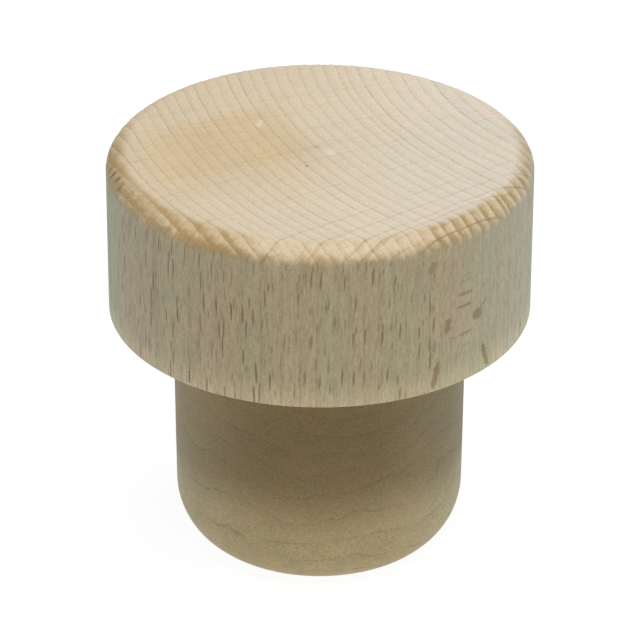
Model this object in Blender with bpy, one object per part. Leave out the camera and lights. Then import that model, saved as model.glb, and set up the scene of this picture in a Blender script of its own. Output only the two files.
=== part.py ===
"""A turned wooden bottle stopper: a broad round head glued onto a shorter, narrower plug.

Both pieces are spun about the Z axis. The origin is the middle of the plug's flat end, and the
stopper stands on that end with its head up. All sizes are in metres.
"""

import math

import bmesh
import bpy

# Head: a low cylinder with its grain upright, so its flat top shows end grain
HEAD_RADIUS = 0.0150
HEAD_HEIGHT = 0.0120
RIM_ROUND_ACROSS = 0.00152      # how far the rounded rim reaches in over the top
RIM_ROUND_DOWN = 0.00109        # how far it reaches down the side
LOWER_EDGE_EASE = 0.00018       # sanded edge between the side and the underside

# Plug: the part that enters the bottle's mouth, a little narrower towards its rounded end
PLUG_SHOWING = 0.0183           # length below the head
PLUG_RADIUS_AT_HEAD = 0.01048
PLUG_RADIUS_AT_NOSE = 0.01036   # where the straight taper meets the rounded nose
NOSE_ROUND_ACROSS = 0.0036      # how far the nose curves in
NOSE_ROUND_UP = 0.0042          # how far it curves up the plug

# Joint: the plug's upper end is glued into a blind round socket in the head's underside
SOCKET_DEPTH = 0.0042
GLUE_GAP = 0.0003               # all round the plug and above its end
PLUG_LEAD_IN = 0.0004           # chamfer that starts the plug into the socket

# Fineness of the turned surfaces
STEPS_AROUND = 96
RIM_STEPS = 8
EASE_STEPS = 3
NOSE_STEPS = 12
SMOOTH_UP_TO = math.radians(32)
WELD = 0.000001

# Colour and roughness of the two woods
BEECH = ((0.70, 0.54, 0.37, 1.0), 0.62)
MAPLE = ((0.46, 0.36, 0.24, 1.0), 0.58)


def clear_scene():
    """Start from a scene with no objects."""
    for leftover in list(bpy.data.objects):
        bpy.data.objects.remove(leftover, do_unlink=True)


def quarter_round(centre, across, along, start, steps):
    """Points of a quarter ellipse about a centre, clockwise from an angle, both ends included."""
    middle_radius, middle_height = centre
    points = []
    for step in range(steps + 1):
        angle = start - math.radians(90) * step / steps
        points.append((middle_radius + across * math.cos(angle),
                       middle_height + along * math.sin(angle)))
    return points


def head_profile():
    """Half section of the head above its underside, from the top's middle round to the socket's."""
    rim_centre = (HEAD_RADIUS - RIM_ROUND_ACROSS, HEAD_HEIGHT - RIM_ROUND_DOWN)
    edge_centre = (HEAD_RADIUS - LOWER_EDGE_EASE, LOWER_EDGE_EASE)
    socket_radius = PLUG_RADIUS_AT_HEAD + GLUE_GAP
    profile = [(0.0, HEAD_HEIGHT)]
    profile += quarter_round(rim_centre, RIM_ROUND_ACROSS, RIM_ROUND_DOWN, math.radians(90), RIM_STEPS)
    profile += quarter_round(edge_centre, LOWER_EDGE_EASE, LOWER_EDGE_EASE, 0.0, EASE_STEPS)
    profile += [(socket_radius, 0.0), (socket_radius, SOCKET_DEPTH), (0.0, SOCKET_DEPTH)]
    return profile


def plug_profile():
    """Half section of the plug above its flat end, from its glued top down to that end."""
    glued_top = PLUG_SHOWING + SOCKET_DEPTH - GLUE_GAP
    nose_centre = (PLUG_RADIUS_AT_NOSE - NOSE_ROUND_ACROSS, NOSE_ROUND_UP)
    profile = [
        (0.0, glued_top),
        (PLUG_RADIUS_AT_HEAD - PLUG_LEAD_IN, glued_top),
        (PLUG_RADIUS_AT_HEAD, glued_top - PLUG_LEAD_IN),
        (PLUG_RADIUS_AT_HEAD, PLUG_SHOWING),
    ]
    profile += quarter_round(nose_centre, NOSE_ROUND_ACROSS, NOSE_ROUND_UP, 0.0, NOSE_STEPS)
    profile.append((0.0, 0.0))
    return profile


def wood(name, look):
    """A plain wood finish of one colour."""
    colour, roughness = look
    finish = bpy.data.materials.new(name)
    finish.use_nodes = True
    shader = finish.node_tree.nodes["Principled BSDF"]
    shader.inputs["Base Color"].default_value = colour
    shader.inputs["Roughness"].default_value = roughness
    shader.inputs["Metallic"].default_value = 0.0
    return finish


def turned(name, profile, finish):
    """A solid of revolution about Z, spun from a half section that runs down its outer side."""
    mesh = bpy.data.meshes.new(name)
    section = bmesh.new()
    corners = [section.verts.new((radius, 0.0, height)) for radius, height in profile]
    for upper, lower in zip(corners, corners[1:]):
        section.edges.new((upper, lower))
    section.to_mesh(mesh)
    section.free()
    piece = bpy.data.objects.new(name, mesh)
    bpy.context.scene.collection.objects.link(piece)
    lathe = piece.modifiers.new("lathe", "SCREW")
    lathe.axis = "Z"
    lathe.steps = STEPS_AROUND
    lathe.render_steps = STEPS_AROUND
    lathe.use_merge_vertices = True
    lathe.merge_threshold = WELD
    lathe.use_smooth_shade = True
    mesh.materials.append(finish)
    return piece


def settle(piece):
    """Turn the spun section into a mesh with smooth curves and crisp edges."""
    graph = bpy.context.evaluated_depsgraph_get()
    spun = bpy.data.meshes.new_from_object(piece.evaluated_get(graph))
    piece.modifiers.clear()
    piece.data = spun
    spun.shade_smooth()
    spun.set_sharp_from_angle(angle=SMOOTH_UP_TO)


def build_stopper():
    """Spin both pieces and stand the head on the plug."""
    stopper = bpy.data.objects.new("bottle_stopper", None)
    bpy.context.scene.collection.objects.link(stopper)
    plug = turned("plug", plug_profile(), wood("plug_maple", MAPLE))
    head = turned("head", head_profile(), wood("head_beech", BEECH))
    head.location.z = PLUG_SHOWING
    for piece in (plug, head):
        settle(piece)
        piece.parent = stopper


clear_scene()
build_stopper()
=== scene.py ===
"""The looks of a turned wooden bottle stopper: a beech head glued onto a plug of finer wood.

The grain is laid out in millimetres, and becomes metres where a mesh is made. The camera looks along +Y.
Grain rules take numbers, arrays of points or shader values alike, so the carved relief and the painted
grain come from the same lines. A pair of numbers named for a change gives where it begins and ends.
"""
import math
from collections import namedtuple
from types import SimpleNamespace

import bpy
import numpy as np
from mathutils import Matrix, Vector


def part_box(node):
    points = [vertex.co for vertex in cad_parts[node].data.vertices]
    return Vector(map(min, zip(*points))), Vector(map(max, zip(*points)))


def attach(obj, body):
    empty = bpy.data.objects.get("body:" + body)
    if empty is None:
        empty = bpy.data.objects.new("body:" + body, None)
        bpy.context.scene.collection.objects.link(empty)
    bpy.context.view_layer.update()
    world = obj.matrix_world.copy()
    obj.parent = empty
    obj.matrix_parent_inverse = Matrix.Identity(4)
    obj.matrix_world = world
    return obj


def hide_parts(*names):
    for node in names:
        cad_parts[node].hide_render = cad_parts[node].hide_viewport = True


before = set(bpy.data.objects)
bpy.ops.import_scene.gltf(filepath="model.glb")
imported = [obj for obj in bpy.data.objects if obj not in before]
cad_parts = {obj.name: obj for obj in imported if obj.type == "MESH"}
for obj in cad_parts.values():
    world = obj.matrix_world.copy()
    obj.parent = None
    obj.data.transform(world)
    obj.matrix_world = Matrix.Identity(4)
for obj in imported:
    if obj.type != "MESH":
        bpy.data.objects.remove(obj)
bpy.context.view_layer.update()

# Sizes of the two pieces in the frame
MM = 0.001
HEAD_LOW, HEAD_HIGH = (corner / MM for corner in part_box("head"))
_, PLUG_HIGH = (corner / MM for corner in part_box("plug"))
HEAD_RADIUS, HEAD_TOP, HEAD_UNDERSIDE = HEAD_HIGH.x, HEAD_HIGH.z, HEAD_LOW.z
PLUG_RADIUS, PLUG_TOP = PLUG_HIGH.x, PLUG_HIGH.z

# Turned form of the head
RIM_ACROSS, RIM_DOWN = 1.52, 1.09
LOWER_EDGE = 0.18
SOCKET_ROOF = PLUG_TOP + 0.05
GLUE_LINE = 0.04

# Turned form of the plug
NOSE_RADIUS = 10.36
NOSE_ACROSS, NOSE_UP = 3.6, 4.2
LEAD_IN = 0.4

# Fineness of the meshes
HEAD_TURNS, PLUG_TURNS = 1080, 320
HEAD_STEPS = {"top": 4, "crest": 12, "rim": 30, "side": 12, "edge": 5, "underside": 3, "socket": 3,
              "roof": 2}
PLUG_STEPS = {"top": 3, "lead_in": 2, "glued": 4, "taper": 40, "nose": 36, "end": 12}
CREST_WIDTH = 1.2
SHARP_FROM = math.radians(40)

# Growth rings of the head: thin upright sheets round a pith that lies to the right and behind
PITH = (33.2, 17.6)
PITH_DISTANCE = math.hypot(*PITH)
RINGS_PER_MM = 1.117
RING_CROWDING = 0.0056
RING_SWAY = 0.15
SWAY_ALONG, SWAY_OUT, SWAY_START = 0.22, 0.20, 1.87
LEAN_YEAR = 0.42
LEAN_YEAR_EDGE = (-5.5, -5.95)

# Rays of the head: thin upright sheets that fan out from a point further off than the pith
RAY_ORIGIN = (49.3, 25.2)
RAY_REACH = math.hypot(*RAY_ORIGIN)

# Long rays that show as lines on the end grain: place across the rays, strength
LONG_RAYS = ((-8.9, 0.6), (-7.0, 0.6), (-3.6, 0.9), (-0.8, 0.8), (1.0, 0.8), (4.9, 0.8), (9.0, 1.1),
             (10.7, 1.3), (12.1, 1.5), (12.7, 1.3), (14.2, 1.6))

# The rim's rounding drags the grain forward: how far, and between which distances in from the side
GRAIN_DRAG = 0.58
DRAG_FROM, DRAG_TO = 1.8, 0.4

# Relief of the rounded rim, where each ring stands out like a scale
RING_RELIEF = 0.045
RAY_RELIEF = 0.014
RAY_GROOVE_WIDTH = 0.10
SCALE_UNEVENNESS, SCALE_BEAT = 0.45, 2.1
GROOVE_YEAR, GROOVE_WIDTH, GROOVE_DEPTH = 0.46, 0.07, 0.35
RELIEF_FROM, RELIEF_TO = 1.95, 1.25
RELIEF_FOOT = (1.5 * RIM_DOWN, 0.6 * RIM_DOWN)

# Torn slits at the far left of the rim: place across the rays, distance from the axis, strength
SLITS = ((-3.90, 14.70, 0.6), (-3.22, 14.60, 1.0), (-2.45, 14.50, 1.0), (-1.60, 14.63, 0.6))
SLIT_DEPTH = 0.25
SLIT_WIDTH, SLIT_LENGTH = 0.075, 0.17
SLIT_LEFT = (-8.0, -12.0)
SLIT_FOOT = (2.6, 1.6)

# Trace of unevenness that the sanding left on the plug
SANDING_DEPTH = 0.006
SANDING_X, SANDING_Y, SANDING_Z = 0.9, 0.8, (0.4, -0.5)


class Grain:
    """A number that changes through the wood: a shader socket that takes part in ordinary sums."""

    def __init__(self, socket):
        self.socket = socket

    def __add__(self, other):
        return reckon("ADD", self, other)

    def __sub__(self, other):
        return reckon("SUBTRACT", self, other)

    def __rsub__(self, other):
        return reckon("SUBTRACT", other, self)

    def __mul__(self, other):
        return reckon("MULTIPLY", self, other)

    def __truediv__(self, other):
        return reckon("DIVIDE", self, other)

    def __rtruediv__(self, other):
        return reckon("DIVIDE", other, self)

    __radd__ = __add__
    __rmul__ = __mul__


NUMBER_RULES = {
    "SINE": np.sin,
    "SQRT": np.sqrt,
    "FRACT": lambda value: value - np.floor(value),
    "ABSOLUTE": np.abs,
    "EXPONENT": np.exp,
    "ARCTAN2": np.arctan2,
    "MINIMUM": np.minimum,
    "MAXIMUM": np.maximum,
    "ROUND": np.round,
}


def reckon(operation, *values):
    """A sum on numbers or arrays, or a Math node as soon as one of the values is a shader value."""
    sockets = [value.socket for value in values if isinstance(value, Grain)]
    if not sockets:
        return NUMBER_RULES[operation](*values)
    tree = sockets[0].id_data
    node = tree.nodes.new("ShaderNodeMath")
    node.operation = operation
    for place, value in zip(node.inputs, values):
        plug_in(tree, place, value)
    return Grain(node.outputs[0])


def plug_in(tree, place, value):
    """Give a socket a link or a constant."""
    if isinstance(value, Grain):
        tree.links.new(value.socket, place)
    elif isinstance(value, bpy.types.NodeSocket):
        tree.links.new(value, place)
    elif place.type == "RGBA":
        place.default_value = (*value, 1.0)
    else:
        place.default_value = value


def length(x, y):
    return reckon("SQRT", x * x + y * y)


def size_of(value):
    """A number without its sign."""
    return reckon("ABSOLUTE", value)


def larger(value, other):
    return reckon("MAXIMUM", value, other)


def smaller(value, other):
    return reckon("MINIMUM", value, other)


def ease(value, low, high):
    """0 below low and 1 above high, or the other way round, with soft ends."""
    share = smaller(larger((value - low) * (1.0 / (high - low)), 0.0), 1.0)
    return share * share * (3.0 - 2.0 * share)


def hump(value, middle, width):
    """1 at the middle, falling away like a bell on both sides."""
    off = (value - middle) * (1.0 / width)
    return reckon("EXPONENT", off * off * -1.0)


def between(ends, share):
    """The first of two ends at a share of 0, the second at 1."""
    return ends[0] + (ends[1] - ends[0]) * share


def grain_place(x, y):
    """Where the grain at a point of the head comes from, with the drag of the rim's rounding."""
    return x, y + GRAIN_DRAG * ease(length(x, y), HEAD_RADIUS - DRAG_FROM, HEAD_RADIUS - DRAG_TO)


def ring_count(x, y):
    """How many growth rings lie between a point and the stopper's axis, counted away from the pith."""
    out = length(x - PITH[0], y - PITH[1]) - PITH_DISTANCE
    along = (x * PITH[1] - y * PITH[0]) * (1.0 / PITH_DISTANCE)
    sway = reckon("SINE", along * SWAY_ALONG + out * SWAY_OUT + SWAY_START) - 1.0
    lean_year = ease(out, *LEAN_YEAR_EDGE)
    return out * RINGS_PER_MM + out * out * RING_CROWDING + sway * RING_SWAY - lean_year * LEAN_YEAR


def ray_place(x, y):
    """Where a point lies across the rays and along them, both in millimetres at the axis."""
    level, depth = x - RAY_ORIGIN[0], y - RAY_ORIGIN[1]
    turn = reckon("ARCTAN2", depth, level) - math.atan2(-RAY_ORIGIN[1], -RAY_ORIGIN[0])
    return turn * RAY_REACH, length(level, depth)


def long_ray_lines(across, half_width):
    """The long rays that show as thin lines on the end grain."""
    lines = 0.0
    for place, strength in LONG_RAYS:
        lines = hump(across, place, half_width) * strength + lines
    return lines


def rim_share(x, y, z):
    """1 on the rounded rim, fading over the top and down the side."""
    inner = ease(length(x, y), HEAD_RADIUS - RELIEF_FROM, HEAD_RADIUS - RELIEF_TO)
    return inner * ease(HEAD_TOP - z, *RELIEF_FOOT)


def slits(x, y, z, spread):
    """Torn slits in the rim at the far left, where the tool met the grain head on."""
    across, _ = ray_place(x, y)
    torn = 0.0
    for place, distance, strength in SLITS:
        slit = hump(across, place, SLIT_WIDTH * spread)
        slit = slit * hump(length(x, y), distance, SLIT_LENGTH * spread)
        torn = slit * strength + torn
    return torn * ease(x, *SLIT_LEFT) * ease(HEAD_TOP - z, *SLIT_FOOT)


def head_relief(x, y, z):
    """How far the head's wood lies below its turned form."""
    grain_x, grain_y = grain_place(x, y)
    across, _ = ray_place(grain_x, grain_y)
    count = ring_count(grain_x, grain_y)
    year = reckon("FRACT", count)
    unevenness = 1.0 + SCALE_UNEVENNESS * reckon("SINE", reckon("ROUND", count - 0.5) * SCALE_BEAT)
    groove = hump(year, GROOVE_YEAR, GROOVE_WIDTH) * GROOVE_DEPTH
    scales = (year * year * year + groove) * unevenness * RING_RELIEF
    rays = long_ray_lines(across, RAY_GROOVE_WIDTH) * RAY_RELIEF
    return rim_share(x, y, z) * (scales + rays) + slits(x, y, z, 1.0) * SLIT_DEPTH


def plug_relief(x, y, z):
    """The plug is sanded smooth, with a trace of unevenness."""
    first = np.sin(x * SANDING_X + z * SANDING_Z[0])
    second = np.sin(y * SANDING_Y + z * SANDING_Z[1] + 1.0)
    return SANDING_DEPTH * (1.0 + first * second)


def run(start, end, steps):
    """Points along a straight stretch of a section, without its end."""
    share = np.arange(steps)[:, None] / steps
    return np.array(start) + (np.array(end) - np.array(start)) * share


def quarter(centre, across, along, start, steps):
    """Points of a quarter ellipse, clockwise from an angle, without its end."""
    angle = math.radians(start) - math.radians(90) * np.arange(steps) / steps
    return np.column_stack((centre[0] + across * np.cos(angle), centre[1] + along * np.sin(angle)))


def head_section():
    """Half section of the head, from the middle of its top round to the roof of its socket."""
    crest = (HEAD_RADIUS - RIM_ACROSS, HEAD_TOP)
    before_crest = (crest[0] - CREST_WIDTH, HEAD_TOP)
    shoulder = (HEAD_RADIUS, HEAD_TOP - RIM_DOWN)
    foot = (HEAD_RADIUS, HEAD_UNDERSIDE + LOWER_EDGE)
    turn = (HEAD_RADIUS - LOWER_EDGE, HEAD_UNDERSIDE)
    mouth = (PLUG_RADIUS + GLUE_LINE, HEAD_UNDERSIDE)
    roof = (PLUG_RADIUS + GLUE_LINE, SOCKET_ROOF)
    return np.vstack((
        run((0.0, HEAD_TOP), before_crest, HEAD_STEPS["top"]),
        run(before_crest, crest, HEAD_STEPS["crest"]),
        quarter((crest[0], shoulder[1]), RIM_ACROSS, RIM_DOWN, 90, HEAD_STEPS["rim"]),
        run(shoulder, foot, HEAD_STEPS["side"]),
        quarter((turn[0], foot[1]), LOWER_EDGE, LOWER_EDGE, 0, HEAD_STEPS["edge"]),
        run(turn, mouth, HEAD_STEPS["underside"]),
        run(mouth, roof, HEAD_STEPS["socket"]),
        run(roof, (0.0, SOCKET_ROOF), HEAD_STEPS["roof"]),
        [(0.0, SOCKET_ROOF)],
    ))


def plug_section():
    """Half section of the plug, from the middle of its glued top down to its flat end."""
    lead_in = (PLUG_RADIUS - LEAD_IN, PLUG_TOP)
    shoulder = (PLUG_RADIUS, PLUG_TOP - LEAD_IN)
    seat = (PLUG_RADIUS, HEAD_UNDERSIDE)
    taper_end = (NOSE_RADIUS, NOSE_UP)
    flat = (NOSE_RADIUS - NOSE_ACROSS, 0.0)
    return np.vstack((
        run((0.0, PLUG_TOP), lead_in, PLUG_STEPS["top"]),
        run(lead_in, shoulder, PLUG_STEPS["lead_in"]),
        run(shoulder, seat, PLUG_STEPS["glued"]),
        run(seat, taper_end, PLUG_STEPS["taper"]),
        quarter((flat[0], NOSE_UP), NOSE_ACROSS, NOSE_UP, 0, PLUG_STEPS["nose"]),
        run(flat, (0.0, 0.0), PLUG_STEPS["end"]),
        [(0.0, 0.0)],
    ))


def turned_points(section, relief, turns):
    """Points of a turned solid, row by row from the top, then the two on its axis."""
    slope = np.gradient(section, axis=0)
    outward = np.column_stack((-slope[:, 1], slope[:, 0]))
    outward /= np.linalg.norm(outward, axis=1)[:, None]
    angle = np.arange(turns) * 2.0 * math.pi / turns
    radius, z = section[1:-1, :1], section[1:-1, 1:] + 0.0 * angle
    cut = relief(radius * np.cos(angle), radius * np.sin(angle), z)
    radius = radius - cut * outward[1:-1, :1]
    z = z - cut * outward[1:-1, 1:]
    body = np.stack((radius * np.cos(angle), radius * np.sin(angle), z), axis=-1).reshape(-1, 3)
    ends = [(0.0, 0.0, section[0, 1]), (0.0, 0.0, section[-1, 1])]
    return np.vstack((body, ends)) * MM


def turned_faces(rows, turns):
    """Faces between the rows of a turned solid, and fans that close its two ends."""
    here = np.arange(turns)
    beside = (here + 1) % turns
    faces = []
    for row in range(rows - 1):
        above, below = row * turns, (row + 1) * turns
        faces += np.column_stack((above + here, below + here, below + beside, above + beside)).tolist()
    last, top, bottom = (rows - 1) * turns, rows * turns, rows * turns + 1
    faces += np.column_stack((here, beside, np.full(turns, top))).tolist()
    faces += np.column_stack((last + beside, last + here, np.full(turns, bottom))).tolist()
    return faces


def turned(name, section, relief, turns):
    """A turned solid from a half section that starts and ends on the axis, cut back by its relief."""
    points = turned_points(section, relief, turns)
    mesh = bpy.data.meshes.new(name)
    mesh.from_pydata(points.tolist(), [], turned_faces(len(section) - 2, turns))
    mesh.validate()
    mesh.shade_smooth()
    mesh.set_sharp_from_angle(angle=SHARP_FROM)
    piece = bpy.data.objects.new(name, mesh)
    bpy.context.scene.collection.objects.link(piece)
    return piece


# A noise: bumps to a unit along its three axes, where it starts, how fine and how rough it is
NO_SHIFT, OWN_AXES = (0.0, 0.0, 0.0), ("x", "y", "z")
USUAL_DETAIL, USUAL_ROUGHNESS = 2.0, 0.5
Noise = namedtuple("Noise", "bumps shift detail roughness axes",
                   defaults=(NO_SHIFT, USUAL_DETAIL, USUAL_ROUGHNESS, OWN_AXES))

# Bare wood: depth of its pores in millimetres, and its weak sheen
PORE_DEPTH = 0.02
BARE_WOOD_SHEEN = 0.35


def counted(place, bumps, shift):
    """A place counted in bumps from a start, or just the start where a noise stays the same."""
    if not bumps:
        return shift
    return place * bumps + shift if shift else place * bumps


class Finish:
    """A material being made up: its node tree, its shader, and places in the wood in millimetres."""

    def __init__(self, name):
        self.material = bpy.data.materials.new(name)
        self.material.use_nodes = True
        self.tree = self.material.node_tree
        self.shader = self.tree.nodes["Principled BSDF"]

    def node(self, kind, settings, **sockets):
        """A node of any kind: its settings first, then values or links by socket identifier."""
        node = self.tree.nodes.new("ShaderNode" + kind)
        for setting, value in settings.items():
            setattr(node, setting, value)
        for identifier, value in sockets.items():
            place = next(socket for socket in node.inputs if socket.identifier == identifier)
            plug_in(self.tree, place, value)
        return node

    def place(self):
        """The point's x, y and z in millimetres."""
        coordinates = self.node("TexCoord", {}).outputs["Object"]
        split = self.node("SeparateXYZ", {}, Vector=coordinates)
        return [Grain(output) * (1.0 / MM) for output in split.outputs]

    def vector(self, x, y, z):
        return self.node("CombineXYZ", {}, X=x, Y=y, Z=z).outputs[0]

    def noise(self, x, y, z, detail, roughness):
        """Smooth noise between about -1 and 1, one bump to each unit of x, y and z."""
        noise = self.node("TexNoise", {"noise_dimensions": "3D"}, Vector=self.vector(x, y, z), Scale=1.0,
                          Detail=detail, Roughness=roughness)
        return Grain(noise.outputs[0]) * 2.0 - 1.0

    def add_noises(self, wood, noises):
        """Give the wood each of the noises under its own name."""
        for name, kind in noises.items():
            place = [counted(getattr(wood, axis), bumps, shift)
                     for axis, bumps, shift in zip(kind.axes, kind.bumps, kind.shift)]
            setattr(wood, name, self.noise(*place, kind.detail, kind.roughness))

    def mix(self, mask, colour, other):
        """One colour where the mask is 0, the other where it is 1."""
        mix = self.node("Mix", {"data_type": "RGBA", "clamp_factor": True}, Factor_Float=mask,
                        A_Color=colour, B_Color=other)
        return mix.outputs[2]

    def shade(self, colour, light):
        """A colour made lighter or darker by a number round 1."""
        scaled = self.node("VectorMath", {"operation": "SCALE"}, Vector=colour, Scale=light)
        return scaled.outputs[0]

    def dress(self, colour, roughness, pores):
        """Give the shader its colour, its roughness and the fine pores of bare wood."""
        bump = self.node("Bump", {}, Strength=1.0, Distance=PORE_DEPTH * MM, Height=pores)
        plug_in(self.tree, self.shader.inputs["Base Color"], colour)
        plug_in(self.tree, self.shader.inputs["Roughness"], roughness)
        plug_in(self.tree, self.shader.inputs["Normal"], bump.outputs[0])
        self.shader.inputs["Specular IOR Level"].default_value = BARE_WOOD_SHEEN


def blend(wood, weights, base=0.0):
    """A base number, plus each named kind of grain times its weight."""
    total = base
    for kind, weight in weights.items():
        total = getattr(wood, kind) * weight + total
    return total


# End grain of the beech, as linear colours; the cool, warm and deep ones also carry a painted sheen on
# the top
END_GRAIN_PALE = (0.602, 0.532, 0.398)
END_GRAIN_COOL = (0.600, 0.545, 0.445)
END_GRAIN_PINK = (0.618, 0.505, 0.392)
END_GRAIN_WARM = (0.565, 0.428, 0.260)
END_GRAIN_DEEP = (0.550, 0.400, 0.222)
LINE_BROWN = (0.340, 0.245, 0.135)
TORN_BROWN = (0.070, 0.045, 0.020)
CHIP_PALE = (0.800, 0.730, 0.620)

# Rim and side of the beech
RIM_CREAM = (0.632, 0.503, 0.340)
RIM_HONEY = (0.360, 0.243, 0.096)
RIM_LINE = (0.235, 0.142, 0.060)
SIDE_GREEN = (0.408, 0.360, 0.218)
SIDE_PINK = (0.436, 0.344, 0.210)
RAY_BROWN = (0.185, 0.105, 0.045)
FIGURE_BROWN = (0.245, 0.152, 0.066)

# The plug's wood, in shaded and lit copies that paint shade under the head and light towards the nose
PLUG_DARK = (0.222, 0.155, 0.062)
PLUG_PALE = (0.430, 0.331, 0.166)
PLUG_DARK_GREEN = (0.200, 0.170, 0.070)
PLUG_GREEN = (0.330, 0.300, 0.145)
PLUG_LINE = (0.130, 0.095, 0.040)

# Noises of the beech that go by the place in the wood
BEECH_NOISES = {
    "fibres": Noise((4.5, 4.5, 0.35), detail=3.0, roughness=0.65),
    "short_fibres": Noise((9.0, 9.0, 1.6), roughness=0.6),
    "specks": Noise((6.5, 6.5, 6.5), roughness=0.8),
    "fine_specks": Noise((11.0, 11.0, 11.0), detail=1.0, roughness=0.6),
    "grit": Noise((3.0, 3.0, 3.0), (5.0, 0.0, 0.0), roughness=0.6),
    "clouds": Noise((0.45, 0.45, 0.2)),
    "mottle": Noise((1.2, 1.2, 1.2), (0.0, 0.0, 9.0)),
    "raggedness": Noise((4.0, 4.0, 4.0), detail=1.0),
    "ring_wobble": Noise((0.9, 0.9, 0.1)),
    "ring_breaks": Noise((2.1, 2.1, 0.2)),
    "mid_line_breaks": Noise((0.8, 0.8, 0.0), (0.0, 0.0, 11.0), detail=1.0),
    "ray_wobble": Noise((0.35, 0.35, 0.0), (0.0, 0.0, 2.0), detail=0.0),
    "rim_wobble": Noise((1.3, 1.3, 0.0), (0.0, 0.0, 1.0)),
    "scallops": Noise((3.0, 3.0, 0.4)),
    "fleck_wobble": Noise((0.5, 0.5, 0.5), detail=1.0),
    "honey_wobble": Noise((1.1, 1.1, 0.0), (0.0, 0.0, 6.0)),
}

# Noises of the beech that follow its rings and rays
RING_NOISES = {
    "ring_tone": Noise((0.9, 0.04, 0.0), (3.0, 0.0, 0.0), detail=1.0, axes=("count", "along", "z")),
    "ring_streaks": Noise((2.3, 0.35, 0.0), (0.0, 0.0, 7.0), axes=("count", "across", "z")),
    "ray_streaks": Noise((2.3, 0.25, 0.0), (0.0, 0.0, 12.0), axes=("across", "along", "z")),
    "ray_breaks": Noise((0.9, 0.28, 0.0), (0.0, 0.0, 4.0), detail=1.0, axes=("across", "along", "z")),
    "side_tone": Noise((0.55, 0.03, 0.03), detail=1.0, axes=("count", "along", "z")),
}

# Dark lines between the years: some years have strong ones, and each is broken into dashes
RING_WOBBLE = 0.08
LINE_EDGE = (0.41, 0.49)
LINE_STRENGTHS = (0.30, 1.90)
LINE_DASHES, DASH_EDGE = (0.25, 1.40), (-0.30, 0.35)
QUIET_PLACE, QUIET_SIZE, QUIETNESS = (-7.5, -6.5), 4.5, 0.6
MID_LINE_YEAR, MID_LINE_WIDTH, MID_LINE_EDGE = 0.46, 0.05, (-0.2, 0.3)

# Rays on the end grain
RAY_WOBBLE = 0.12
LONG_RAY_WIDTH = 0.060
LONG_RAY_DASHES, LONG_RAY_EDGE = (0.25, 1.0), (-0.35, 0.10)
FINE_RAY_SPACING, FINE_RAY_WIDTH, FINE_RAY_SEED = 0.58, 0.05, 3.7
FINE_RAY_BUMPS, FINE_RAY_EDGE, FINE_RAY_STRENGTHS = (5.0, 0.30), (-0.15, 0.25), (0.3, 1.0)

# The way that the rim's palest part faces, and a little length that keeps shares finite on the axis
FACING = (0.087, -0.996)
OFF_AXIS = 0.01


def beech_wood(finish):
    """The head's wood at a point: its distances, its turn round the axis, its facing and its noises."""
    wood = SimpleNamespace()
    wood.x, wood.y, wood.z = finish.place()
    wood.depth = HEAD_TOP - wood.z
    wood.radius = length(wood.x, wood.y)
    wood.turn = reckon("ARCTAN2", wood.x, 0.0 - wood.y)
    wood.facing = (wood.x * FACING[0] + wood.y * FACING[1]) / (wood.radius + OFF_AXIS)
    finish.add_noises(wood, BEECH_NOISES)
    return wood


def add_rings(finish, wood):
    """Rings: each year is bright where it starts and darkens towards the line of the next."""
    grain_x, grain_y = grain_place(wood.x, wood.y)
    wood.count = ring_count(grain_x, grain_y) + wood.ring_wobble * RING_WOBBLE
    wood.year = reckon("FRACT", wood.count)
    wood.fall = wood.year * wood.year * wood.year
    chance = finish.node("TexWhiteNoise", {"noise_dimensions": "1D"}, W=reckon("ROUND", wood.count))
    chosen = Grain(chance.outputs["Value"])
    dashes = between(LINE_DASHES, ease(wood.ring_breaks, *DASH_EDGE))
    quiet = hump(length(wood.x - QUIET_PLACE[0], wood.y - QUIET_PLACE[1]), 0.0, QUIET_SIZE)
    line = ease(size_of(wood.year - 0.5), *LINE_EDGE)
    wood.line = line * between(LINE_STRENGTHS, chosen * chosen) * dashes * (1.0 - QUIETNESS * quiet)
    mid_line = hump(wood.year, MID_LINE_YEAR, MID_LINE_WIDTH)
    wood.mid_line = mid_line * ease(wood.mid_line_breaks, *MID_LINE_EDGE)


def add_rays(finish, wood):
    """Rays on the end grain: the long ones one by one, and fine ones in between."""
    wood.across, wood.along = ray_place(*grain_place(wood.x, wood.y))
    finish.add_noises(wood, RING_NOISES)
    across = wood.across + wood.ray_wobble * RAY_WOBBLE
    dashes = between(LONG_RAY_DASHES, ease(wood.ray_breaks, *LONG_RAY_EDGE))
    wood.ray_line = long_ray_lines(across, LONG_RAY_WIDTH) * dashes
    wood.fine_rays = fine_rays(finish, across, wood.along)


def fine_rays(finish, across, along):
    """Thin rays at random distances from one another, each dark for only part of its length."""
    place = across * (1.0 / FINE_RAY_SPACING) + FINE_RAY_SEED
    nearest = finish.node("TexVoronoi", {"voronoi_dimensions": "1D", "feature": "F1"},
                          W=place, Scale=1.0, Randomness=1.0)
    chance = finish.node("SeparateColor", {}, Color=nearest.outputs["Color"])
    off = Grain(nearest.outputs["Distance"]) * (FINE_RAY_SPACING / FINE_RAY_WIDTH)
    ray, run_of_ray = Grain(nearest.outputs["W"]) * FINE_RAY_BUMPS[0], along * FINE_RAY_BUMPS[1]
    breaks = finish.noise(ray, run_of_ray, FINE_RAY_SEED, detail=1.0, roughness=USUAL_ROUGHNESS)
    line = hump(off, 0.0, 1.0) * ease(breaks, *FINE_RAY_EDGE)
    return line * between(FINE_RAY_STRENGTHS, Grain(chance.outputs[0]))


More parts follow.
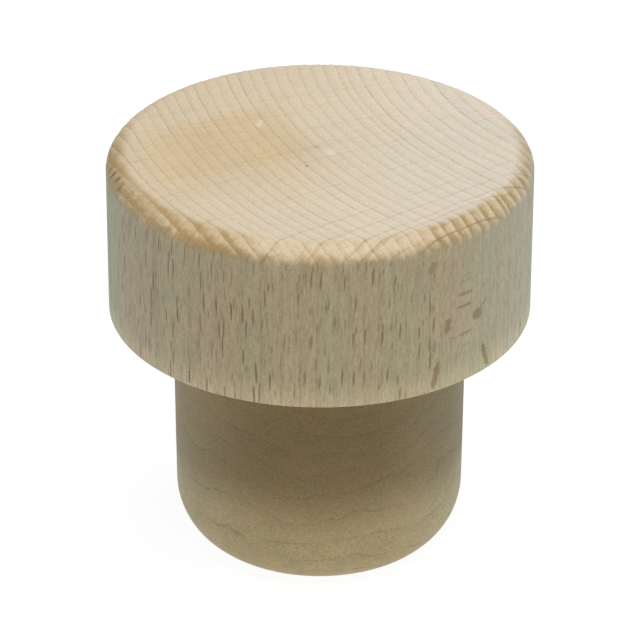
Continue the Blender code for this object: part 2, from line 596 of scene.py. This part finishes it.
# Zones of the head: where the rim begins on the top, and where it ends on the side
PALE_FRONT = (0.84, 0.955)
RIM_FROM, RIM_TO = 2.0, 0.95
RIM_WOBBLE, RIM_WIDER_AT_FRONT = 0.16, 0.28
RIGHT_NARROWING, RIGHT_NARROW_FACING, RIGHT_NARROW_X = 0.55, (0.80, 0.30), (0.0, 5.0)
LEFT_NARROWING, LEFT_NARROW_FACING, LEFT_NARROW_X = 0.25, (0.55, 0.15), (0.0, -5.0)
RIM_AT_BACK, BACK_EDGE = (0.35, 1.0), (-0.55, -0.05)
SIDE_FROM = (0.58, 1.42)
SCALE_DROP, SCALLOP_DROP = 0.20, 0.32


def add_zones(wood):
    """Shares of the rim and of the side: 1 inside them, 0 outside."""
    wood.pale_front = ease(wood.facing, *PALE_FRONT)
    right = ease(wood.facing, *RIGHT_NARROW_FACING) * ease(wood.x, *RIGHT_NARROW_X) * RIGHT_NARROWING
    left = ease(wood.facing, *LEFT_NARROW_FACING) * ease(wood.x, *LEFT_NARROW_X) * LEFT_NARROWING
    wander = wood.rim_wobble * RIM_WOBBLE + wood.facing * RIM_WIDER_AT_FRONT - right - left
    rim = ease(wood.radius + wander, HEAD_RADIUS - RIM_FROM, HEAD_RADIUS - RIM_TO)
    wood.rim = rim * between(RIM_AT_BACK, ease(wood.facing, *BACK_EDGE))
    wood.side = ease(wood.depth + wood.year * SCALE_DROP + wood.scallops * SCALLOP_DROP, *SIDE_FROM)


# Flecks: rays that the side cuts, as thin upright lenses, one to a cell and each of a size of its own
Lens = namedtuple("Lens", "cell half_width half_height seed")
BIG_FLECKS = Lens((0.62, 1.60), 0.052, 0.74, 0.0)
SMALL_FLECKS = Lens((0.40, 1.00), 0.036, 0.42, 7.3)
WIDE_FLECKS = Lens((0.80, 1.50), 0.080, 0.62, 3.1)
LENS_HEIGHTS, LENS_WIDTHS, LENS_STRENGTHS = (0.45, 1.55), (0.7, 1.3), (0.6, 1.0)
LENS_EDGE, LENS_CHANCE = (-0.25, 0.45), (0.12, 0.52)
FLECK_WOBBLE, FAR_HALF_SEED = 0.07, 30.0
LEAST_CROSSING = 0.36
LAST_FLECKS = (14.3, 13.6)
FRONT_RIGHT_FROM = (math.radians(-14), math.radians(2))
FRONT_RIGHT_TO = (math.radians(37), math.radians(31))
FRONT_RIGHT_LEAN = 0.05
SMALL_STRENGTH, THIN_AT_FRONT_RIGHT, WIDE_STRENGTH = 0.55, 0.6, 0.9

# Rays of the figured patch at the right of the front, as places along the side from its middle:
# place, depth below the top, half width, half height, lean, strength
FIGURE_MIDDLE = math.radians(41.2)
FIGURE_RAGGEDNESS, FIGURE_EDGE = 0.12, (-0.5, 0.6)
FIGURE_RAYS = (
    (-1.45, 7.10, 0.26, 0.60, 0.10, 0.9),
    (1.30, 7.10, 0.44, 0.42, 0.15, 0.9),
    (-2.40, 10.70, 0.24, 1.00, 0.21, 1.0),
    (2.20, 10.70, 0.24, 1.00, -0.28, 1.0),
    (-2.75, 2.20, 0.30, 0.45, 0.25, 0.65),
    (-2.72, 5.40, 0.18, 0.28, 0.0, 0.5),
    (-2.68, 8.50, 0.16, 0.30, 0.0, 0.45),
    (0.05, 5.05, 0.62, 0.13, 0.0, 0.75),
    (0.00, 6.00, 0.66, 0.14, 0.0, 0.75),
    (0.15, 8.20, 0.60, 0.12, 0.0, 0.65),
    (0.10, 4.05, 0.50, 0.10, 0.0, 0.40),
    (0.20, 3.65, 0.50, 0.09, 0.0, 0.30),
    (-0.90, 8.25, 0.30, 0.10, 0.0, 0.35),
    (0.30, 9.10, 0.45, 0.10, 0.0, 0.30),
    (1.95, 6.45, 0.14, 0.22, 0.8, 0.6),
    (1.90, 5.10, 0.13, 0.22, 0.5, 0.4),
)


def lens_rays(finish, across, z, width_share, lens, seed):
    """How far inside the nearest lens a point lies, between 0 and 1."""
    cells = finish.vector(across * (1.0 / lens.cell[0]) + seed, z * (1.0 / lens.cell[1]), 0.0)
    nearest = finish.node("TexVoronoi", {"voronoi_dimensions": "2D", "feature": "F1"},
                          Vector=cells, Scale=1.0, Randomness=1.0)
    off = finish.node("VectorMath", {"operation": "SUBTRACT"},
                      Vector=cells, Vector_001=nearest.outputs["Position"])
    parts = finish.node("SeparateXYZ", {}, Vector=off.outputs[0])
    aside, up = Grain(parts.outputs[0]) * lens.cell[0], Grain(parts.outputs[1]) * lens.cell[1]
    chance = finish.node("SeparateColor", {}, Color=nearest.outputs["Color"])
    breadth, tallness, presence = (Grain(output) for output in chance.outputs)
    up = up / (lens.half_height * between(LENS_HEIGHTS, tallness))
    half_width = width_share * lens.half_width * between(LENS_WIDTHS, breadth)
    inside = ease(1.0 - up * up - size_of(aside) / half_width, *LENS_EDGE)
    return inside * ease(presence, *LENS_CHANCE) * between(LENS_STRENGTHS, tallness)


def figure_rays(x, y, depth):
    """Single rays of the figured patch, where the side runs along the rays."""
    place = (reckon("ARCTAN2", x, 0.0 - y) - FIGURE_MIDDLE) * HEAD_RADIUS
    figure = 0.0
    for middle, level, half_width, half_height, lean, strength in FIGURE_RAYS:
        up = (depth - level) * (1.0 / half_height)
        off = (place - middle + (depth - level) * lean) * (1.0 / half_width)
        inside = 1.0 - up * up * up * up - off * off
        figure = larger(ease(inside, *FIGURE_EDGE) * strength, figure)
    return figure


def add_flecks(finish, wood):
    """Flecks where the side cuts the rays: thin ones nearly all round, wide ones right of the front."""
    slope_x, slope_y = wood.x - RAY_ORIGIN[0], wood.y - RAY_ORIGIN[1]
    crossing = size_of((wood.x * slope_x + wood.y * slope_y) / ((wood.radius + OFF_AXIS) * wood.along))
    width_share = reckon("SQRT", larger(crossing, LEAST_CROSSING))
    across = wood.across + wood.fleck_wobble * FLECK_WOBBLE
    far_half = ease(wood.along, RAY_REACH - 1.0, RAY_REACH + 1.0) * FAR_HALF_SEED
    big = lens_rays(finish, across, wood.z, width_share, BIG_FLECKS, far_half + BIG_FLECKS.seed)
    small = lens_rays(finish, across, wood.z, width_share, SMALL_FLECKS, far_half + SMALL_FLECKS.seed)
    front_right = ease(wood.turn, *FRONT_RIGHT_FROM) * ease(wood.turn, *FRONT_RIGHT_TO)
    round_side = wood.turn * HEAD_RADIUS + wood.depth * FRONT_RIGHT_LEAN
    wide = lens_rays(finish, round_side, wood.z, 1.0, WIDE_FLECKS, WIDE_FLECKS.seed)
    thin = larger(big, small * SMALL_STRENGTH) * ease(size_of(wood.across), *LAST_FLECKS)
    thin = thin * (1.0 - front_right * THIN_AT_FRONT_RIGHT)
    wood.flecks = larger(thin, wide * front_right * WIDE_STRENGTH)
    ragged = wood.raggedness * FIGURE_RAGGEDNESS
    wood.figure = figure_rays(wood.x + ragged, wood.y + ragged, wood.depth + ragged)


# Top: a painted sheen of turned end grain, paler to the right, with a warm darker fan on the left of the
# middle
FAN_WAY, FAN_HUB = (-0.956, 0.294), 0.25
FAN_OPENING, FAN_START, FAN_END = (0.40, 0.97), (0.2, 2.2), (14.5, 9.0)
FAN_BACK_WAY, FAN_BACK = (-0.468, 0.883), (9.5, 6.5)
LEFT_SLOPE, LEFT_WARMTH = -0.2, (8.0, -12.0)
COOL_RIGHT = (2.0, 11.0)
DEEP_PLACE, DEEP_SHAPE, DEEP_SIZE, DEEP_STRENGTH = (-3.2, -1.9), (0.9, 0.75), 3.0, 0.45
HUB_SIZE = 2.5
BACK_RIGHT_Y, BACK_RIGHT_X = (2.0, 11.0), (-3.0, 6.0)
# Warmth of the top: the fan and the leftward share are painted sheen, the rest is the grain's own colour
WARMTH = {"fan": 0.62, "leftness": 0.50, "clouds": 0.14, "fall": 0.12, "ring_tone": 0.14,
          "ray_line": 0.30, "line": 0.25, "ring_streaks": 0.16}
PINKNESS, PINK_GROUND = {"mottle": 0.8, "ray_streaks": 0.5}, 0.4
TOP_LINES = {"line": 0.145, "ray_line": 0.165, "fine_rays": 0.080}
TOP_LIGHT = {"line": -0.008, "fall": -0.085, "ray_line": -0.015, "ring_tone": 0.060, "hub": -0.045,
             "mottle": 0.040, "ring_streaks": 0.065, "ray_streaks": 0.060, "back_right": 0.035,
             "specks": 0.17, "fine_specks": 0.20, "grit": 0.06}
TOP_BRIGHTNESS = 1.015

# Small marks on the top: place, radius, strength
DARK_MARKS = ((-0.92, -2.20, 0.13, 0.6), (-0.28, 0.78, 0.16, 0.32), (-0.62, 0.58, 0.30, 0.08),
              (-1.05, 0.32, 0.30, 0.06))
PALE_CHIPS = ((-4.37, 3.98, 0.20, 0.42), (-4.29, 4.36, 0.21, 0.44), (-4.21, 4.74, 0.18, 0.36),
              (0.68, -0.14, 0.50, 0.28))


def spots(x, y, marks):
    """Round soft marks on the top."""
    total = 0.0
    for middle_x, middle_y, size, strength in marks:
        total = hump(length(x - middle_x, y - middle_y), 0.0, size) * strength + total
    return total


def top_colour(finish, wood):
    """End grain: pale wood with a painted sheen (paler to the right, a warm darker fan on the left),
    ring and ray lines, streaks, specks and small marks.
    """
    toward = (wood.x * FAN_WAY[0] + wood.y * FAN_WAY[1]) / (wood.radius + FAN_HUB)
    fan = ease(toward, *FAN_OPENING) * ease(wood.radius, *FAN_START)
    fan = fan * ease(wood.radius + wood.grit, *FAN_END)
    wood.fan = fan * ease(wood.x * FAN_BACK_WAY[0] + wood.y * FAN_BACK_WAY[1], *FAN_BACK)
    wood.leftness = ease(wood.x + wood.y * LEFT_SLOPE, *LEFT_WARMTH)
    wood.hub = hump(wood.radius, 0.0, HUB_SIZE)
    wood.back_right = ease(wood.y, *BACK_RIGHT_Y) * ease(wood.x, *BACK_RIGHT_X)
    # Painted sheen: paler and cooler to the right
    pale = finish.mix(ease(wood.x, *COOL_RIGHT), END_GRAIN_PALE, END_GRAIN_COOL)
    pale = finish.mix(blend(wood, PINKNESS, PINK_GROUND), pale, END_GRAIN_PINK)
    top = finish.mix(blend(wood, WARMTH), pale, END_GRAIN_WARM)
    deep_x = (wood.x - DEEP_PLACE[0]) * DEEP_SHAPE[0]
    deep_y = (wood.y - DEEP_PLACE[1]) * DEEP_SHAPE[1]
    # Painted sheen: the fan made deeper a little left of the middle
    top = finish.mix(hump(length(deep_x, deep_y), 0.0, DEEP_SIZE) * DEEP_STRENGTH, top, END_GRAIN_DEEP)
    top = finish.mix(blend(wood, TOP_LINES), top, LINE_BROWN)
    top = finish.shade(top, blend(wood, TOP_LIGHT, TOP_BRIGHTNESS))
    top = finish.mix(spots(wood.x, wood.y, DARK_MARKS), top, TORN_BROWN)
    return finish.mix(spots(wood.x, wood.y, PALE_CHIPS), top, CHIP_PALE)


# Rim: cream at the front, with honey-coloured scales on both sides of it; their honey is partly the
# wood's colour and partly painted shade
HONEY_WOBBLE, HONEY_YEAR, HONEY_LESS_AT_FRONT = 0.35, (0.25, 0.95), 0.72
TO_LEFT, FAR_LEFT, TO_RIGHT = (-4.0, -8.5), (-9.0, -13.0), (3.0, 10.0)
LEFT_EVENNESS, LEFT_HONEY = 0.38, {"to_left": 0.17, "far_left": 0.13}
HONEY_CLOUDS, HONEY_GROUND, HONEY_BY_FACING = (0.75, 1.25), 0.26, (0.22, 1.0)
SIDES_LEFT, SIDES_LEFT_SHARE, SIDES_EDGE = (0.0, -10.0), 0.5, (-0.35, 0.40)
FRONT_LEFT_FROM, FRONT_LEFT_TO, LEFT_SLOPING = (-3.0, -6.5), (-11.0, -8.5), (-6.0, -13.0)
HONEY_PATCHES = {"front_left": 0.14, "left_sloping": 0.09, "grit": 0.55, "mottle": 0.35}
HONEY_FOOT, HONEY_FOOT_GROUND, HONEY_FOOT_MOTTLE, FOOT_LESS_TO_RIGHT = (0.15, 0.85), 0.45, 0.8, 0.6
RIM_LINES = {"line": 0.26, "ray_line": 0.30, "fine_rays": 0.32, "mid_line": 0.26}
FAR_SIDES, FAR_SIDES_LEFT, FAR_LESS_AT_LEFT = (0.60, 0.10), (-6.0, -12.0), 0.45
# A painted highlight on the rim, a little left of the front: where it is and how wide
GLEAM_TURN, GLEAM_WIDTH = math.radians(-37), math.radians(11)
RIM_LIGHT = {"to_right": -0.05, "specks": 0.26, "grit": 0.12, "mottle": 0.06, "far_sides": -0.16,
             "gleam": 0.07}
RIM_BRIGHTNESS = 1.01


def honey_share(wood):
    """How honey-coloured the rim is: each scale deepens through its year, least of all at the front,
    partly as painted shade.
    """
    sides = ease(wood.facing + ease(wood.x, *SIDES_LEFT) * SIDES_LEFT_SHARE, *SIDES_EDGE)
    # The deepening through each year is partly painted shade on the shadow side of each scale
    scales = ease(wood.year + wood.honey_wobble * HONEY_WOBBLE, *HONEY_YEAR)
    scales = scales * (1.0 - wood.pale_front * HONEY_LESS_AT_FRONT)
    scales = scales * (1.0 - wood.to_left * LEFT_EVENNESS) + blend(wood, LEFT_HONEY)
    honey = scales * between(HONEY_CLOUDS, wood.clouds) + (1.0 - wood.pale_front) * HONEY_GROUND
    foot = ease(wood.depth, *HONEY_FOOT) * (HONEY_FOOT_GROUND + wood.mottle * HONEY_FOOT_MOTTLE)
    foot = foot * sides * (1.0 - wood.to_right * FOOT_LESS_TO_RIGHT)
    return honey * between(HONEY_BY_FACING, sides) + blend(wood, HONEY_PATCHES) + foot


def rim_colour(finish, wood):
    """The rounded rim: cream and honey scales with fine lines across them."""
    wood.to_left, wood.far_left = ease(wood.x, *TO_LEFT), ease(wood.x, *FAR_LEFT)
    wood.to_right = ease(wood.x, *TO_RIGHT)
    wood.front_left = ease(wood.x, *FRONT_LEFT_FROM) * ease(wood.x, *FRONT_LEFT_TO)
    wood.left_sloping = ease(wood.x, *LEFT_SLOPING)
    far_sides = ease(size_of(wood.facing), *FAR_SIDES)
    wood.far_sides = far_sides * (1.0 - ease(wood.x, *FAR_SIDES_LEFT) * FAR_LESS_AT_LEFT)
    # Painted highlight on the rim, left of the front
    wood.gleam = hump(wood.turn, GLEAM_TURN, GLEAM_WIDTH)
    rim = finish.mix(honey_share(wood), RIM_CREAM, RIM_HONEY)
    rim = finish.mix(blend(wood, RIM_LINES), rim, RIM_LINE)
    return finish.shade(rim, blend(wood, RIM_LIGHT, RIM_BRIGHTNESS))


# Side: upright bands of greenish and pinkish wood, fibres and flecks, lighter towards the lower edge in
# painted light from the floor
PINK_BAND_TURN, PINK_BAND_WIDTH = math.radians(-54), math.radians(10)
GREEN_BAND = (math.radians(-64), math.radians(-70))
SIDE_TONE, SIDE_TONE_GROUND = {"side_tone": 1.0, "pink_band": 0.50, "green_band": -0.60}, 0.45
SIDE_LIGHT = {"fibres": 0.22, "short_fibres": 0.28, "specks": 0.18, "fine_specks": 0.22, "fall": -0.06,
              "line": -0.06, "clouds": 0.05}
SIDE_BRIGHTNESS = 0.965
FLECK_STRENGTH, FIGURE_STRENGTH = 0.84, 0.82
LOWER_HALF, LOWER_EDGE_BAND = (5.5, 10.0), (9.6, 12.2)
LOWER_LIGHT = {"lower_half": 0.035, "lower_edge": 0.31}


def side_colour(finish, wood):
    """The side: long grain in upright bands, with rays cut across as flecks, and painted light towards
    the lower edge.
    """
    wood.pink_band = hump(wood.turn, PINK_BAND_TURN, PINK_BAND_WIDTH)
    wood.green_band = ease(wood.turn, *GREEN_BAND)
    wood.lower_half, wood.lower_edge = ease(wood.depth, *LOWER_HALF), ease(wood.depth, *LOWER_EDGE_BAND)
    side = finish.mix(blend(wood, SIDE_TONE, SIDE_TONE_GROUND), SIDE_GREEN, SIDE_PINK)
    side = finish.shade(side, blend(wood, SIDE_LIGHT, SIDE_BRIGHTNESS))
    side = finish.mix(wood.flecks * FLECK_STRENGTH, side, RAY_BROWN)
    side = finish.mix(wood.figure * FIGURE_STRENGTH, side, FIGURE_BROWN)
    # Painted light: lighter in the lower half and more so near the lower edge, where light from the
    # floor falls
    return finish.shade(side, blend(wood, LOWER_LIGHT, 1.0))


# Painted slits are a little wider than the carved ones, dark with torn fibres and painted shade inside
# them, with a honey-coloured bruise round them
SLIT_SPREAD, BRUISE_SPREAD, BRUISE_STRENGTH = 1.25, 3.6, 0.35

# Roughness and pores of the beech
BEECH_ROUGHNESS, SPECK_ROUGHNESS, FLECK_ROUGHNESS = 0.62, 0.05, 0.06
SIDE_PORES = {"fibres": 0.5, "short_fibres": 0.5, "flecks": -0.5}
TOP_PORES = {"line": -0.4, "fall": -0.6, "ray_line": -0.3}
ALL_PORES = 0.35


def beech_finish():
    """Bare sanded beech: end grain on top, scaly rim, rays standing as flecks round the side."""
    finish = Finish("head_beech")
    wood = beech_wood(finish)
    add_rings(finish, wood)
    add_rays(finish, wood)
    add_zones(wood)
    add_flecks(finish, wood)
    colour = finish.mix(wood.rim, top_colour(finish, wood), rim_colour(finish, wood))
    colour = finish.mix(wood.side, colour, side_colour(finish, wood))
    bruise = slits(wood.x, wood.y, wood.z, BRUISE_SPREAD) * BRUISE_STRENGTH
    colour = finish.mix(bruise, colour, RIM_HONEY)
    # Dark paint in the slits: torn fibres, and painted shade inside them
    colour = finish.mix(slits(wood.x, wood.y, wood.z, SLIT_SPREAD), colour, TORN_BROWN)
    roughness = BEECH_ROUGHNESS + wood.specks * SPECK_ROUGHNESS
    roughness = roughness + wood.flecks * wood.side * FLECK_ROUGHNESS
    pores = blend(wood, SIDE_PORES) * wood.side + blend(wood, TOP_PORES) * (1.0 - wood.side)
    finish.dress(colour, roughness, pores + wood.specks * ALL_PORES)
    return finish.material


# The plug's wood: noises by the place in it
PLUG_NOISES = {
    "swell": Noise((0.13, 0.13, 0.13), (3.0, 0.0, 0.0), detail=0.0),
    "ripple": Noise((0.42, 0.42, 0.42), (0.0, 0.0, 4.0)),
    "gaps": Noise((0.45, 0.45, 0.45), (9.0, 0.0, 0.0)),
    "fuzz": Noise((8.0, 8.0, 9.0), roughness=0.8),
    "glint": Noise((7.0, 7.0, 11.0), (30.0, 0.0, 0.0), detail=1.0),
    "curls": Noise((2.6, 2.6, 3.6), roughness=0.7),
    "clouds": Noise((0.32, 0.32, 0.40)),
    "patches": Noise((0.45, 0.45, 0.55), (20.0, 0.0, 0.0), detail=1.0),
}

# Its rings: nearly level sheets that sag above and arch below, and cross the flat end
PLUG_RINGS = {"z": 0.60, "swell": 0.9, "ripple": 0.36, "arches": 0.050, "sag": -0.024}
ARCH_REACH, ARCH_LEVELS = 16.0, (6.0, 1.5)
SAG_REACH, SAG_LEVELS = 60.0, (5.0, 12.0)
END_RINGS, END_LEVELS = {"y": 0.55, "x": 0.12}, (0.4, 0.0)
PLUG_LINE_EDGE, PLUG_LINE_STRENGTH, GAP_EDGE = (0.455, 0.49), 0.36, (-0.30, 0.20)

# Its colour: dark above in painted shade under the head, pale below in painted light, and a little paler
# at both sides in painted light
PALE_LEVELS = (9.6, 3.6)
PALE_BORDER = {"z": 1.0, "sag_reach": -0.020, "right": 1.3, "left": 0.7, "clouds": 0.8}
BORDER_RIGHT, BORDER_LEFT = (5.0, 9.5), (-5.0, -9.0)
UPPER_SIDES = {"upper_left": 0.24, "upper_right": 0.12}
UPPER_LEFT, UPPER_RIGHT = (-3.0, -9.5), (3.0, 8.0)
GREEN_EDGE, GREEN_STRENGTH = (-0.1, 0.6), 0.40
GLINT_EDGE = (0.28, 0.55)
PLUG_LIGHT = {"fuzz": 0.62, "curls": 0.14, "clouds": 0.10, "late_year": -0.05, "glints": 0.20}
PLUG_ROUGHNESS, FUZZ_ROUGHNESS = 0.60, 0.05
PLUG_PORES = {"fuzz": 0.6, "line": -0.3}


def add_plug_rings(wood):
    """Faint nested lines, broken here and there."""
    wood.sag_reach = smaller(wood.x * wood.x, SAG_REACH)
    wood.sag = wood.sag_reach * ease(wood.z, *SAG_LEVELS)
    wood.arches = smaller(wood.x * wood.x, ARCH_REACH) * ease(wood.z, *ARCH_LEVELS)
    count = blend(wood, PLUG_RINGS) + blend(wood, END_RINGS) * ease(wood.z, *END_LEVELS)
    year = reckon("FRACT", count)
    wood.late_year = year * year
    wood.line = ease(size_of(year - 0.5), *PLUG_LINE_EDGE) * ease(wood.gaps, *GAP_EDGE)


def plug_colour(finish, wood):
    """Painted shade under the head and painted light towards the nose, with green patches, specks and
    glints.
    """
    wood.right, wood.left = ease(wood.x, *BORDER_RIGHT), ease(wood.x, *BORDER_LEFT)
    wood.upper_left, wood.upper_right = ease(wood.x, *UPPER_LEFT), ease(wood.x, *UPPER_RIGHT)
    wood.glints = ease(wood.glint, *GLINT_EDGE)
    # Painted shade and light: dark under the head, paler towards the nose and up both sides
    pale = larger(ease(blend(wood, PALE_BORDER), *PALE_LEVELS), blend(wood, UPPER_SIDES))
    colour = finish.mix(pale, PLUG_DARK, PLUG_PALE)
    # The green patches come in the same shaded and lit copies
    green = finish.mix(pale, PLUG_DARK_GREEN, PLUG_GREEN)
    colour = finish.mix(ease(wood.patches, *GREEN_EDGE) * GREEN_STRENGTH, colour, green)
    colour = finish.shade(colour, blend(wood, PLUG_LIGHT, 1.0))
    return finish.mix(wood.line * PLUG_LINE_STRENGTH, colour, PLUG_LINE)


def plug_finish():
    """A fine close wood with faint nested arches and a speckled surface."""
    finish = Finish("plug_maple")
    wood = SimpleNamespace()
    wood.x, wood.y, wood.z = finish.place()
    finish.add_noises(wood, PLUG_NOISES)
    add_plug_rings(wood)
    colour = plug_colour(finish, wood)
    finish.dress(colour, PLUG_ROUGHNESS + wood.fuzz * FUZZ_ROUGHNESS, blend(wood, PLUG_PORES))
    return finish.material


# Studio: a plain pale floor that glows nearly white by itself, so that shadows on it stay faint
FLOOR_HALF = 8.0
FLOOR_GREY = (0.08, 0.08, 0.08)
FLOOR_WHITE = (1.0, 1.0, 1.0)
FLOOR_GLOW = 0.945
FLOOR_ROUGHNESS = 0.9
FLOOR_SHEEN = 0.1

# Round lamps in metres and watts: place, size, power, colour
LAMP_TARGET = (0.0, 0.0, 0.015)
DAYLIGHT = (1.0, 0.985, 0.96)
COOL = (0.42, 0.68, 1.0)
LAMPS = {
    "front_above": ((0.07, -0.27, 0.50), 0.22, 1.4, DAYLIGHT),
    "overhead": ((0.02, 0.06, 0.60), 0.34, 2.3, DAYLIGHT),
    "right_side": ((0.43, 0.16, 0.12), 0.16, 0.98, COOL),
    "left_side": ((-0.43, 0.16, 0.12), 0.16, 0.68, COOL),
}
SURROUND_COLOUR = (0.95, 0.98, 1.0)
SURROUND_STRENGTH = 0.10


def floor():
    """A plain pale floor."""
    mesh = bpy.data.meshes.new("floor")
    corners = [(x * FLOOR_HALF, y * FLOOR_HALF, 0.0) for x, y in ((-1, -1), (1, -1), (1, 1), (-1, 1))]
    mesh.from_pydata(corners, [], [(0, 1, 2, 3)])
    piece = bpy.data.objects.new("floor", mesh)
    bpy.context.scene.collection.objects.link(piece)
    finish = Finish("floor_white")
    finish.shader.inputs["Base Color"].default_value = (*FLOOR_GREY, 1.0)
    finish.shader.inputs["Emission Color"].default_value = (*FLOOR_WHITE, 1.0)
    finish.shader.inputs["Emission Strength"].default_value = FLOOR_GLOW
    finish.shader.inputs["Roughness"].default_value = FLOOR_ROUGHNESS
    finish.shader.inputs["Specular IOR Level"].default_value = FLOOR_SHEEN
    mesh.materials.append(finish.material)


def lamp(name, place, size, power, colour):
    """A round soft lamp that faces the stopper."""
    data = bpy.data.lights.new(name, "AREA")
    data.shape = "DISK"
    data.size = size
    data.energy = power
    data.color = colour
    piece = bpy.data.objects.new(name, data)
    piece.location = place
    piece.rotation_euler = (Vector(LAMP_TARGET) - Vector(place)).to_track_quat("-Z", "Y").to_euler()
    bpy.context.scene.collection.objects.link(piece)


def studio_light():
    """Soft lamps above and in front, a weak cool one at each side, and a dim pale surround."""
    for name, (place, size, power, colour) in LAMPS.items():
        lamp(name, place, size, power, colour)
    world = bpy.data.worlds.new("surround")
    world.use_nodes = True
    background = world.node_tree.nodes["Background"]
    background.inputs["Color"].default_value = (*SURROUND_COLOUR, 1.0)
    background.inputs["Strength"].default_value = SURROUND_STRENGTH
    bpy.context.scene.world = world
    bpy.context.scene.view_settings.view_transform = "Standard"


# Camera of the photograph, in pixels of its 640 by 640 frame, degrees and millimetres
FRAME_PIXELS = 640
FOCAL_PIXELS = 4243.8
MIDDLE_PIXEL = (319.49, 340.11)
ELEVATION = 29.554
ROLL = 0.189
DISTANCE = 304.11
SENSOR = 36.0
NEAREST, FURTHEST = 10.0, 10000.0


def photograph_camera():
    """A long lens that looks down on the stopper from the front."""
    data = bpy.data.cameras.new("camera")
    data.sensor_width = SENSOR
    data.lens = FOCAL_PIXELS / FRAME_PIXELS * SENSOR
    data.shift_x = (FRAME_PIXELS / 2 - MIDDLE_PIXEL[0]) / FRAME_PIXELS
    data.shift_y = (MIDDLE_PIXEL[1] - FRAME_PIXELS / 2) / FRAME_PIXELS
    data.clip_start, data.clip_end = NEAREST * MM, FURTHEST * MM
    camera = bpy.data.objects.new("camera", data)
    bpy.context.scene.collection.objects.link(camera)
    tilt = math.radians(ELEVATION)
    target = Vector((0.0, 0.0, HEAD_TOP * MM / 2))
    camera.location = target + Vector((0.0, -math.cos(tilt), math.sin(tilt))) * DISTANCE * MM
    level = Matrix.Rotation(math.radians(90) - tilt, 4, "X")
    camera.rotation_euler = (level @ Matrix.Rotation(math.radians(ROLL), 4, "Z")).to_euler()
    bpy.context.scene.camera = camera


photograph_camera()
studio_light()
floor()

head = turned("beech_head", head_section(), head_relief, HEAD_TURNS)
head.data.materials.append(beech_finish())
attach(head, "root")
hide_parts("head")

plug = turned("turned_plug", plug_section(), plug_relief, PLUG_TURNS)
plug.data.materials.append(plug_finish())
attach(plug, "root")
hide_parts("plug")
